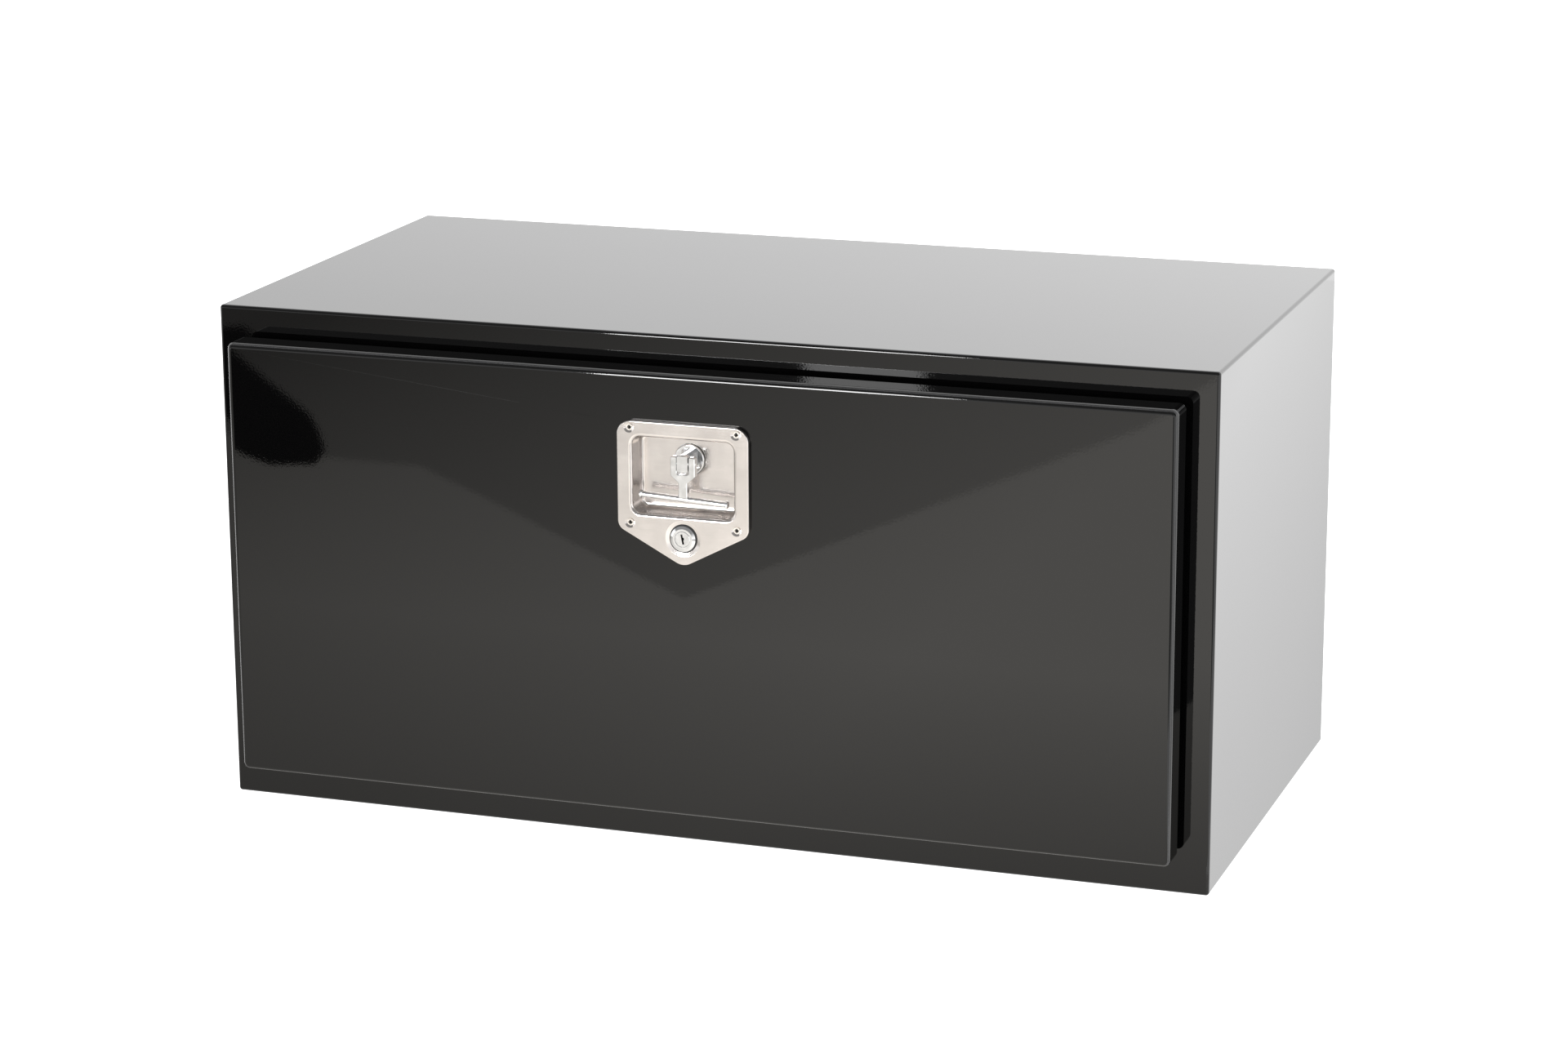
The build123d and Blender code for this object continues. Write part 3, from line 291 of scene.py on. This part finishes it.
FLOOR_HALF = 12.0
FLOOR_DROP = 0.2 * MM
FLOOR_FADE = 1.6  # how far behind the cabinet the floor reaches its full brightness
FLOOR_NEAR = 1.6
FLOOR_FAR = 2.05

CARD_LEFT = -2.2
CARD_RIGHT = 0.56
CARD_REACH = -2.7  # how far the cards on the floor run in front of the door
STAND_LIGHT = 0.02
SIDE_FLAG_LIGHT = 0.35

ROOM_HALF_WIDTH = 7.0
ROOM_FRONT = -4.2
ROOM_BACK = 0.2
ROOM_TOP = 3.4
WALL_FOOT = 0.02
WALL_LIGHT = 1.1
ROOM_LIGHT = 0.28

WORLD_LEFT = 1.34
WORLD_RIGHT = 1.97


def ramp_along(tree, place, heading, start, end, low, high):
    """Number that runs from low at start to high at end, measured along a heading."""
    reach = tree.nodes.new("ShaderNodeVectorMath")
    reach.operation = "DOT_PRODUCT"
    reach.inputs[1].default_value = heading
    ramp = tree.nodes.new("ShaderNodeMapRange")
    ramp.inputs["From Min"].default_value = start
    ramp.inputs["From Max"].default_value = end
    ramp.inputs["To Min"].default_value = low
    ramp.inputs["To Max"].default_value = high
    tree.links.new(place, reach.inputs[0])
    tree.links.new(reach.outputs["Value"], ramp.inputs["Value"])
    return ramp.outputs["Result"]


def glow(name, *ramps, colour=WHITE):
    """Emitting material whose strength is the product of ramps, as ramp_along takes them."""
    material = bpy.data.materials.new(name)
    material.use_nodes = True
    tree = material.node_tree
    tree.nodes.clear()
    output = tree.nodes.new("ShaderNodeOutputMaterial")
    emission = tree.nodes.new("ShaderNodeEmission")
    emission.inputs["Color"].default_value = (*colour, 1)
    place = tree.nodes.new("ShaderNodeTexCoord").outputs["Object"]
    strength = ramp_along(tree, place, *ramps[0])
    for ramp in ramps[1:]:
        product = tree.nodes.new("ShaderNodeMath")
        product.operation = "MULTIPLY"
        tree.links.new(strength, product.inputs[0])
        tree.links.new(ramp_along(tree, place, *ramp), product.inputs[1])
        strength = product.outputs["Value"]
    tree.links.new(strength, emission.inputs["Strength"])
    tree.links.new(emission.outputs["Emission"], output.inputs["Surface"])
    return material


def stage_sheet(name, corners, material):
    """Flat stage piece with the given corners."""
    mesh = bpy.data.meshes.new(name)
    mesh.from_pydata(corners, [], [list(range(len(corners)))])
    mesh.materials.append(material)
    sheet = bpy.data.objects.new(name, mesh)
    bpy.context.scene.collection.objects.link(sheet)
    return sheet


def studio_card(name, corners, material):
    """Card that shows only as a reflection, like a flag or reflector beside a camera."""
    card = stage_sheet(name, corners, material)
    card.visible_camera = False
    card.visible_diffuse = False
    card.visible_shadow = False
    return card


def floor_card(name, outline, height, material):
    """Card lying just above the floor, from X and Y points."""
    return studio_card(name, [(x, y, cad_low.z + height) for x, y in outline], material)


def add_floor():
    """Plain white floor that glows, with painted light making it brighter behind the object."""
    below = cad_low.z - FLOOR_DROP
    half = FLOOR_HALF
    corners = [(-half, -half, below), (half, -half, below), (half, half, below), (-half, half, below)]
    # Painted light: the floor's glow rises from front to back, brightest behind the cabinet.
    white = glow("floor_painted_glow", (DEEPER, cad_low.y, cad_high.y + FLOOR_FADE, FLOOR_NEAR, FLOOR_FAR))
    stage_sheet("studio_floor", corners, white)


def even_glow(name, light):
    """Emitting material with one strength all over."""
    return glow(name, (ACROSS, 0, 1, light, light))


def add_floor_cards():
    """Reflectors and flags on the floor, which the door and the latch mirror."""
    fall_left = (ACROSS, -1.2, 0.0, 0.56, 1.62)
    # Painted shade: the reflector dims towards the cabinet front, standing in for the shadow at the
    # cabinet's foot.
    near_cabinet_shade = (DEEPER, CABINET_FRONT, -0.9, 0.55, 1.0)
    reflector_outline = [
        (CARD_LEFT, CARD_REACH),
        (CARD_RIGHT, CARD_REACH),
        (CARD_RIGHT, CABINET_FRONT),
        (CARD_LEFT, CABINET_FRONT),
    ]
    reflector = glow("reflector_glow", fall_left, near_cabinet_shade, colour=WARM)
    floor_card("reflector", reflector_outline, 1 * MM, reflector)
    # Painted shade: this floor card glows less towards the cabinet's side, standing in for the
    # contact shadow at its foot.
    side_floor_shade = glow("side_floor_shade_glow", ((3.48, -0.5, 0), 1.4, 2.2, 1.35, 2.15))
    side_floor_shade_outline = [
        (CABINET_SIDE, -0.3),
        (0.62, -0.3),
        (0.98, 0.25),
        (1.5, 0.25),
        (1.5, 2.4),
        (CABINET_SIDE, 2.4),
    ]
    floor_card("side_floor_shade", side_floor_shade_outline, 1 * MM, side_floor_shade)
    grey = glow("grey_flag_glow", (ACROSS, -1.3, 0.05, 0.28, 1.24), colour=WARM)
    grey_outline = [
        (-0.29, -1.04),
        (-0.80, -1.50),
        (-1.5, -1.50),
        (CARD_LEFT, CARD_REACH),
        (0.06, CARD_REACH),
        (-0.02, -1.95),
    ]
    floor_card("grey_flag", grey_outline, 2 * MM, grey)
    stand_outline = [
        (-1.36, -2.08),
        (-1.27, -1.97),
        (-1.17, -1.85),
        (-1.10, -1.77),
        (-1.04, -1.70),
        (-0.99, -1.62),
        (-0.94, -1.53),
        (-0.92, -1.46),
        (-0.97, -1.44),
        (-1.03, -1.48),
        (-1.08, -1.53),
        (-1.6, -1.9),
    ]
    floor_card("camera_stand", stand_outline, 3 * MM, even_glow("black_glow", STAND_LIGHT))
    side_outline = [(0.56, -0.7), (0.46, -1.3), (0.40, -2.2), (0.95, -2.4), (1.05, -0.9)]
    floor_card("side_flag", side_outline, 4 * MM, even_glow("side_flag_glow", SIDE_FLAG_LIGHT))


def add_dark_room():
    """Unlit wall and ceiling on the camera's side of the studio."""
    dark = glow("room_glow", (UPWARD, 0.3, 1.6, WALL_LIGHT, ROOM_LIGHT))
    half = ROOM_HALF_WIDTH
    wall = [
        (-half, ROOM_FRONT, WALL_FOOT),
        (half, ROOM_FRONT, WALL_FOOT),
        (half, ROOM_FRONT, ROOM_TOP),
        (-half, ROOM_FRONT, ROOM_TOP),
    ]
    studio_card("room_wall", wall, dark)
    ceiling = [
        (-half, ROOM_FRONT, ROOM_TOP),
        (half, ROOM_FRONT, ROOM_TOP),
        (half, ROOM_BACK, ROOM_TOP),
        (-half, ROOM_BACK, ROOM_TOP),
    ]
    studio_card("room_ceiling", ceiling, dark)


def add_world():
    """Soft white surround, a little brighter to the right."""
    world = bpy.data.worlds.new("studio")
    bpy.context.scene.world = world
    world.use_nodes = True
    tree = world.node_tree
    background = tree.nodes["Background"]
    direction = tree.nodes.new("ShaderNodeTexCoord").outputs["Generated"]
    strength = ramp_along(tree, direction, ACROSS, -0.45, -0.1, WORLD_LEFT, WORLD_RIGHT)
    tree.links.new(strength, background.inputs["Strength"])
    background.inputs["Color"].default_value = (*WHITE, 1)


def add_softbox(name, place, target, width, height, power):
    """Rectangular soft lamp at a place, facing a target."""
    lamp = bpy.data.lights.new(name, "AREA")
    lamp.shape = "RECTANGLE"
    lamp.size = width
    lamp.size_y = height
    lamp.energy = power
    softbox = bpy.data.objects.new(name, lamp)
    bpy.context.scene.collection.objects.link(softbox)
    softbox.location = place
    facing = Vector(target) - Vector(place)
    softbox.rotation_euler = facing.to_track_quat("-Z", "Y").to_euler()
    softbox.visible_camera = False


def add_lights():
    """Main softbox at the front left, with a narrow one above it for the dish's rim."""
    centre = (cad_low + cad_high) / 2
    add_softbox("front_softbox", (-1.22, -4.1, 0.75), centre, 0.66, 0.95, 52.0)
    add_softbox("softbox_rim", (-1.09, -4.05, 1.5), centre, 0.22, 0.5, 2.8)


CAMERA_PLACE = (1.2164, -3.5283, 1.2151)
CAMERA_AZIMUTH = 19.910
CAMERA_ELEVATION = 15.246
CAMERA_ROLL = -0.489
CAMERA_LENS = 96.045
CAMERA_SHIFT = (0.0381, 0.0266)
SENSOR_WIDTH = 36.0


def add_camera():
    """Camera at the product's three-quarter view from the right and above."""
    azimuth = math.radians(CAMERA_AZIMUTH)
    elevation = math.radians(CAMERA_ELEVATION)
    level = math.cos(elevation)
    forward = Vector((-math.sin(azimuth) * level, math.cos(azimuth) * level, -math.sin(elevation)))
    right = forward.cross(Vector((0, 0, 1))).normalized()
    up = right.cross(forward)
    roll = Matrix.Rotation(math.radians(CAMERA_ROLL), 3, -forward)
    right = roll @ right
    up = roll @ up
    data = bpy.data.cameras.new("camera")
    data.sensor_width = SENSOR_WIDTH
    data.lens = CAMERA_LENS
    data.shift_x, data.shift_y = CAMERA_SHIFT
    camera = bpy.data.objects.new("camera", data)
    bpy.context.scene.collection.objects.link(camera)
    turn = Matrix((right, up, -forward)).transposed().to_4x4()
    camera.matrix_world = Matrix.Translation(CAMERA_PLACE) @ turn
    bpy.context.scene.camera = camera


# ---------------------------------------------------------------- scene

add_camera()
finish_cad_nodes()
add_world()
add_floor()
add_floor_cards()
add_dark_room()
add_lights()
bpy.context.scene.view_settings.view_transform = "Standard"
